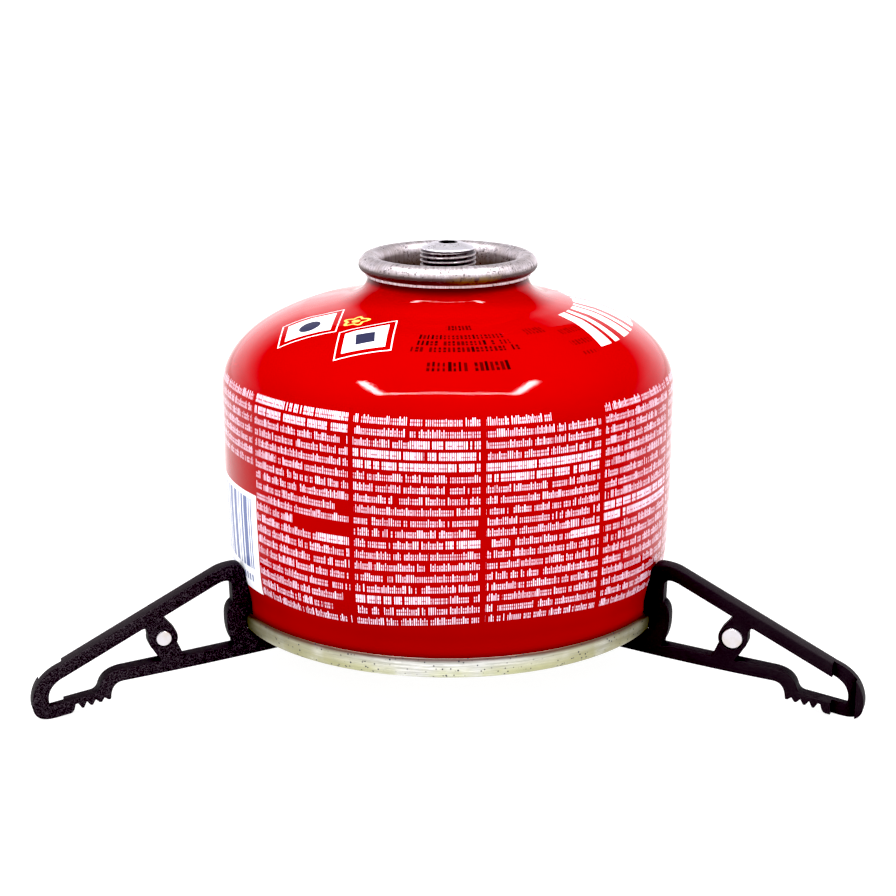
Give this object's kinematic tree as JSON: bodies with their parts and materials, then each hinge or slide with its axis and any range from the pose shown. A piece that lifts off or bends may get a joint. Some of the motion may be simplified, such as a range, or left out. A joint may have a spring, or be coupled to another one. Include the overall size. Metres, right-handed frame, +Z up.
{
  "type": "gas canister on folding stand",
  "caption": "Small red screw-valve gas canister on a folding three-leg plastic stand that steadies it as the foot of a stove.",
  "frame": {"origin": "on the floor, at the centre of the whole object's footprint box; the canister's axis is 20.55 mm in front of it", "axes": "+Z up, +X to the right seen from the front, +Y backwards along the rear leg"},
  "size_m": [0.1604, 0.1314, 0.0869],
  "materials": {
    "red_paint": "gloss red lacquer with pale print",
    "tinplate": "bare tinplate, scratched, yellowish",
    "cup_steel": "satin pressed steel with stains",
    "bright_steel": "bright, finely turned",
    "spring_steel": "bright drawn wire and strip",
    "black_plastic": "spark-eroded grain on one face, smooth on the other",
    "housing_plastic": "natural acetal",
    "rubber": "matt nitrile rubber",
    "sealant": "dried sealing compound"
  },
  "bodies": {
    "stand": {"leg_rear": "black_plastic", "pin_rear": "bright_steel", "hub_rivet": "bright_steel", "hub_washer_top": "bright_steel", "hub_washer_bottom": "bright_steel", "spacer_lower": "spring_steel", "spacer_upper": "spring_steel"},
    "leg_left": {"leg_left": "black_plastic", "pin_left": "bright_steel"},
    "leg_right": {"leg_right": "black_plastic", "pin_right": "bright_steel"},
    "canister": {"can_body": "red_paint", "base_end": "tinplate", "seam_compound": "sealant", "valve_cup": "cup_steel", "cup_gasket": "rubber", "valve_housing": "housing_plastic", "valve_spring": "spring_steel", "stem_gasket": "rubber"},
    "plunger": {"valve_stem": "bright_steel"}
  },
  "joints": [
    {"name": "leg_left_fold", "type": "hinge", "parent": "stand", "child": "leg_left", "pos_m": [0, -0.02055, 0.016], "axis": [0, 0, 1], "range_deg": [-110, 10]},
    {"name": "leg_right_fold", "type": "hinge", "parent": "stand", "child": "leg_right", "pos_m": [0, -0.02055, 0.016], "axis": [0, 0, 1], "range_deg": [-10, 110]},
    {"name": "canister_turn", "type": "hinge", "parent": "stand", "child": "canister", "pos_m": [0, -0.02055, 0.016], "axis": [0, 0, 1], "continuous": true},
    {"name": "valve_press", "type": "slide", "parent": "canister", "child": "plunger", "axis": [0, 0, -1], "range_m": [0, 0.0015], "stiffness_N_per_m": 3000, "springref_m": -0.002, "deforming": ["valve_spring"]}
  ]
}
